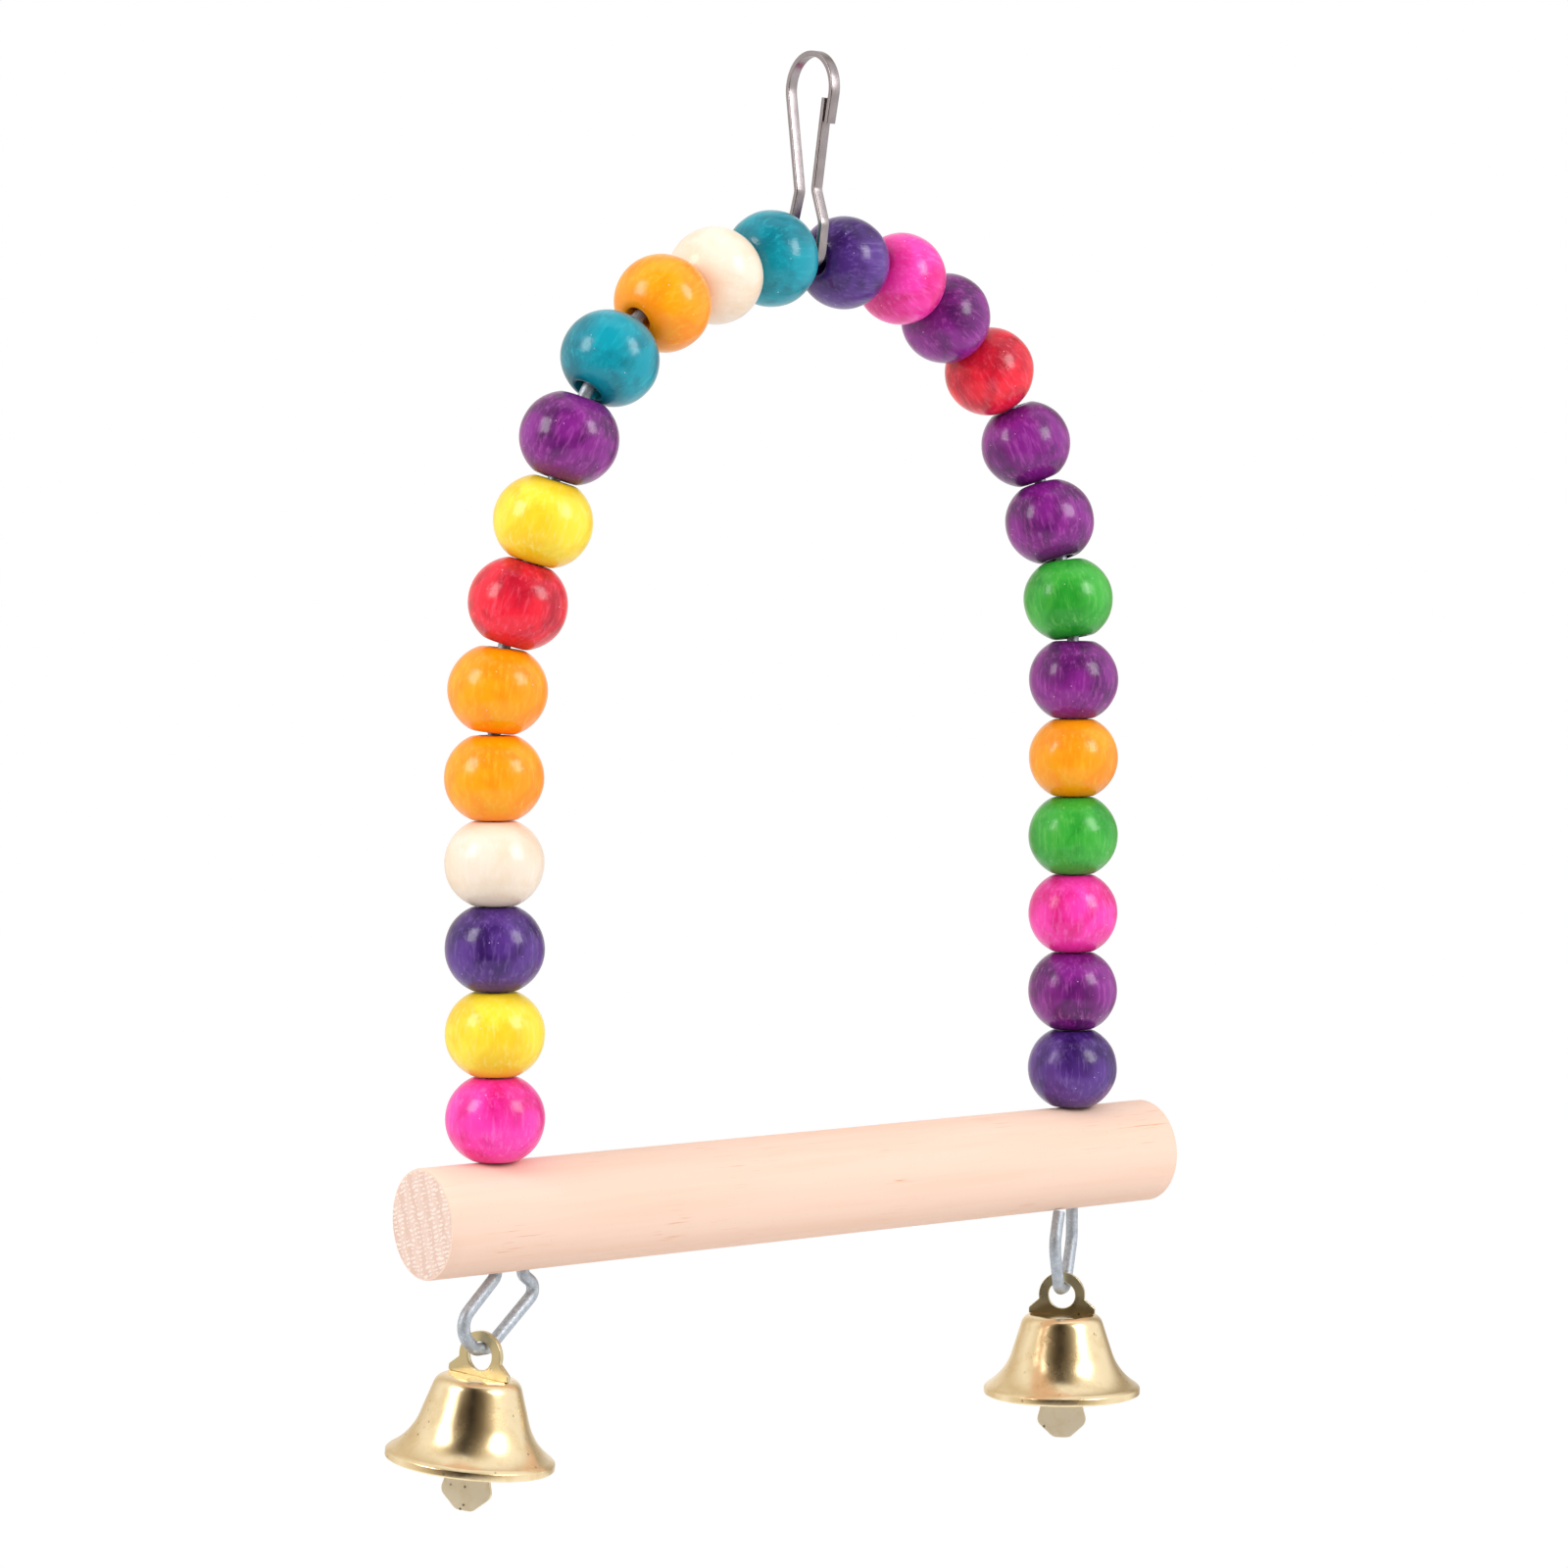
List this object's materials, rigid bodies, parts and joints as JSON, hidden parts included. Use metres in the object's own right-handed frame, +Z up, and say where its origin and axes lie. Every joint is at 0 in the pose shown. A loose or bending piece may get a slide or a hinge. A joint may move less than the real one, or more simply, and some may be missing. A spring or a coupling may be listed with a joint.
{
  "type": "bird swing",
  "caption": "Hanging bird swing: a round wooden perch on a wire arch threaded with dyed wooden beads, a snap clip at the top to hang it by, and a brass bell under each end of the perch.",
  "frame": {"origin": "middle of the clip's top bend, where the cage bar lies", "axes": "+X along the perch, +Z up, -Y towards the open end of the clip's hook"},
  "size_m": [0.1203, 0.0254, 0.1829],
  "materials": {
    "perch_wood": "bare planed softwood",
    "bead_pink": "pink dye under clear lacquer",
    "bead_yellow": "yellow dye under clear lacquer",
    "bead_indigo": "indigo dye under clear lacquer",
    "bead_cream": "cream dye under clear lacquer",
    "bead_orange": "orange dye under clear lacquer",
    "bead_red": "red dye under clear lacquer",
    "bead_purple": "purple dye under clear lacquer",
    "bead_teal": "teal dye under clear lacquer",
    "bead_green": "green dye under clear lacquer",
    "wire_steel": "galvanised",
    "clip_steel": "satin nickel plate",
    "bell_brass": "polished",
    "hanger_brass": "pale brass plate",
    "clapper_brass": "pale brass plate"
  },
  "bodies": {
    "clip": {"clip_hook": "clip_steel"},
    "gate": {"clip_gate": "clip_steel"},
    "swing": {"arch_wire": "wire_steel", "perch": "perch_wood"},
    "bead_left_01": {"bead_left_01": "bead_pink"},
    "bead_left_02": {"bead_left_02": "bead_yellow"},
    "bead_left_03": {"bead_left_03": "bead_indigo"},
    "bead_left_04": {"bead_left_04": "bead_cream"},
    "bead_left_05": {"bead_left_05": "bead_orange"},
    "bead_left_06": {"bead_left_06": "bead_orange"},
    "bead_left_07": {"bead_left_07": "bead_red"},
    "bead_left_08": {"bead_left_08": "bead_yellow"},
    "bead_left_09": {"bead_left_09": "bead_purple"},
    "bead_left_10": {"bead_left_10": "bead_teal"},
    "bead_left_11": {"bead_left_11": "bead_orange"},
    "bead_left_12": {"bead_left_12": "bead_cream"},
    "bead_left_13": {"bead_left_13": "bead_teal"},
    "bead_right_01": {"bead_right_01": "bead_indigo"},
    "bead_right_02": {"bead_right_02": "bead_purple"},
    "bead_right_03": {"bead_right_03": "bead_pink"},
    "bead_right_04": {"bead_right_04": "bead_green"},
    "bead_right_05": {"bead_right_05": "bead_orange"},
    "bead_right_06": {"bead_right_06": "bead_purple"},
    "bead_right_07": {"bead_right_07": "bead_green"},
    "bead_right_08": {"bead_right_08": "bead_purple"},
    "bead_right_09": {"bead_right_09": "bead_purple"},
    "bead_right_10": {"bead_right_10": "bead_red"},
    "bead_right_11": {"bead_right_11": "bead_purple"},
    "bead_right_12": {"bead_right_12": "bead_pink"},
    "bead_right_13": {"bead_right_13": "bead_indigo"},
    "bell_left": {"bell_shell_left": "bell_brass", "bell_hanger_left": "hanger_brass"},
    "clapper_left": {"clapper_left": "clapper_brass"},
    "bell_right": {"bell_shell_right": "bell_brass", "bell_hanger_right": "hanger_brass"},
    "clapper_right": {"clapper_right": "clapper_brass"}
  },
  "joints": [
    {"name": "arch_swing", "type": "hinge", "parent": "clip", "child": "swing", "pos_m": [0, 0.00095, -0.0209], "axis": [0.9903, 0.1392, 0], "range_deg": [-80, 80]},
    {"name": "gate_spring", "type": "hinge", "parent": "clip", "child": "gate", "pos_m": [0, 0.00095, -0.0218], "axis": [-1, 0, 0], "range_deg": [0, 12], "stiffness_Nm_per_rad": 0.4},
    {"name": "bell_left_swing", "type": "hinge", "parent": "swing", "child": "bell_left", "pos_m": [-0.05068, 0.00063, -0.15662], "axis": [0.9903, 0.1392, 0], "range_deg": [-90, 90]},
    {"name": "clapper_left_swing", "type": "hinge", "parent": "bell_left", "child": "clapper_left", "pos_m": [-0.05121, 0.00113, -0.16313], "axis": [-0.3514, 0.9308, 0.1004], "range_deg": [-45, 45]},
    {"name": "bell_right_swing", "type": "hinge", "parent": "swing", "child": "bell_right", "pos_m": [0.04158, -0.00103, -0.15787], "axis": [0.866, 0.5, 0], "range_deg": [-90, 90]},
    {"name": "clapper_right_swing", "type": "hinge", "parent": "bell_right", "child": "clapper_right", "pos_m": [0.04158, -0.00103, -0.16442], "axis": [-0.682, 0.7314, 0], "range_deg": [-48, 48]},
    {"name": "bead_left_01_spin", "type": "hinge", "parent": "swing", "child": "bead_left_01", "pos_m": [-0.0484, 0.00095, -0.12848], "axis": [0, 0, 1], "continuous": true},
    {"name": "bead_left_02_spin", "type": "hinge", "parent": "swing", "child": "bead_left_02", "pos_m": [-0.0484, 0.00095, -0.118], "axis": [0, 0, 1], "continuous": true},
    {"name": "bead_left_03_spin", "type": "hinge", "parent": "swing", "child": "bead_left_03", "pos_m": [-0.0484, 0.00095, -0.10752], "axis": [0, 0, 1], "continuous": true},
    {"name": "bead_left_04_spin", "type": "hinge", "parent": "swing", "child": "bead_left_04", "pos_m": [-0.0484, 0.00095, -0.09704], "axis": [0, 0, 1], "continuous": true},
    {"name": "bead_left_05_spin", "type": "hinge", "parent": "swing", "child": "bead_left_05", "pos_m": [-0.0484, 0.00095, -0.08656], "axis": [0, 0, 1], "continuous": true},
    {"name": "bead_left_06_spin", "type": "hinge", "parent": "swing", "child": "bead_left_06", "pos_m": [-0.04804, 0.00065, -0.07583], "axis": [0.0909, -0.0758, 0.993], "continuous": true},
    {"name": "bead_left_07_spin", "type": "hinge", "parent": "swing", "child": "bead_left_07", "pos_m": [-0.04612, -0.00095, -0.06526], "axis": [0.2286, -0.1905, 0.9547], "continuous": true},
    {"name": "bead_left_08_spin", "type": "hinge", "parent": "swing", "child": "bead_left_08", "pos_m": [-0.04372, -0.00295, -0.05525], "axis": [0.2286, -0.1905, 0.9547], "continuous": true},
    {"name": "bead_left_09_spin", "type": "hinge", "parent": "swing", "child": "bead_left_09", "pos_m": [-0.04121, -0.00494, -0.04513], "axis": [0.2832, -0.1681, 0.9442], "continuous": true},
    {"name": "bead_left_10_spin", "type": "hinge", "parent": "swing", "child": "bead_left_10", "pos_m": [-0.0357, -0.00577, -0.03532], "axis": [0.6296, 0.0029, 0.7769], "continuous": true},
    {"name": "bead_left_11_spin", "type": "hinge", "parent": "swing", "child": "bead_left_11", "pos_m": [-0.02695, -0.00466, -0.02828], "axis": [0.8661, 0.1751, 0.4682], "continuous": true},
    {"name": "bead_left_12_spin", "type": "hinge", "parent": "swing", "child": "bead_left_12", "pos_m": [-0.01714, -0.00227, -0.02441], "axis": [0.913, 0.229, 0.3376], "continuous": true},
    {"name": "bead_left_13_spin", "type": "hinge", "parent": "swing", "child": "bead_left_13", "pos_m": [-0.00664, 0, -0.02177], "axis": [0.9847, 0.1594, 0.0703], "continuous": true},
    {"name": "bead_right_01_spin", "type": "hinge", "parent": "swing", "child": "bead_right_01", "pos_m": [0.045, 0.00095, -0.12848], "axis": [0, 0, 1], "continuous": true},
    {"name": "bead_right_02_spin", "type": "hinge", "parent": "swing", "child": "bead_right_02", "pos_m": [0.045, 0.00095, -0.118], "axis": [0, 0, 1], "continuous": true},
    {"name": "bead_right_03_spin", "type": "hinge", "parent": "swing", "child": "bead_right_03", "pos_m": [0.045, 0.00095, -0.10752], "axis": [0, 0, 1], "continuous": true},
    {"name": "bead_right_04_spin", "type": "hinge", "parent": "swing", "child": "bead_right_04", "pos_m": [0.045, 0.00095, -0.09704], "axis": [0, 0, 1], "continuous": true},
    {"name": "bead_right_05_spin", "type": "hinge", "parent": "swing", "child": "bead_right_05", "pos_m": [0.045, 0.00095, -0.08656], "axis": [0, 0, 1], "continuous": true},
    {"name": "bead_right_06_spin", "type": "hinge", "parent": "swing", "child": "bead_right_06", "pos_m": [0.045, 0.00095, -0.07608], "axis": [0, 0, 1], "continuous": true},
    {"name": "bead_right_07_spin", "type": "hinge", "parent": "swing", "child": "bead_right_07", "pos_m": [0.04466, 0.00172, -0.06529], "axis": [-0.065, 0.1488, 0.9867], "continuous": true},
    {"name": "bead_right_08_spin", "type": "hinge", "parent": "swing", "child": "bead_right_08", "pos_m": [0.04354, 0.00429, -0.05488], "axis": [-0.1179, 0.2699, 0.9556], "continuous": true},
    {"name": "bead_right_09_spin", "type": "hinge", "parent": "swing", "child": "bead_right_09", "pos_m": [0.04152, 0.00692, -0.04445], "axis": [-0.3151, 0.1761, 0.9326], "continuous": true},
    {"name": "bead_right_10_spin", "type": "hinge", "parent": "swing", "child": "bead_right_10", "pos_m": [0.0357, 0.00762, -0.03479], "axis": [-0.6527, -0.0305, 0.757], "continuous": true},
    {"name": "bead_right_11_spin", "type": "hinge", "parent": "swing", "child": "bead_right_11", "pos_m": [0.02684, 0.00602, -0.02804], "axis": [-0.8565, -0.2164, 0.4687], "continuous": true},
    {"name": "bead_right_12_spin", "type": "hinge", "parent": "swing", "child": "bead_right_12", "pos_m": [0.01741, 0.00372, -0.02329], "axis": [-0.9214, -0.198, 0.3343], "continuous": true},
    {"name": "bead_right_13_spin", "type": "hinge", "parent": "swing", "child": "bead_right_13", "pos_m": [0.00651, 0.00186, -0.0217], "axis": [0.9903, 0.1392, 0], "continuous": true}
  ]
}
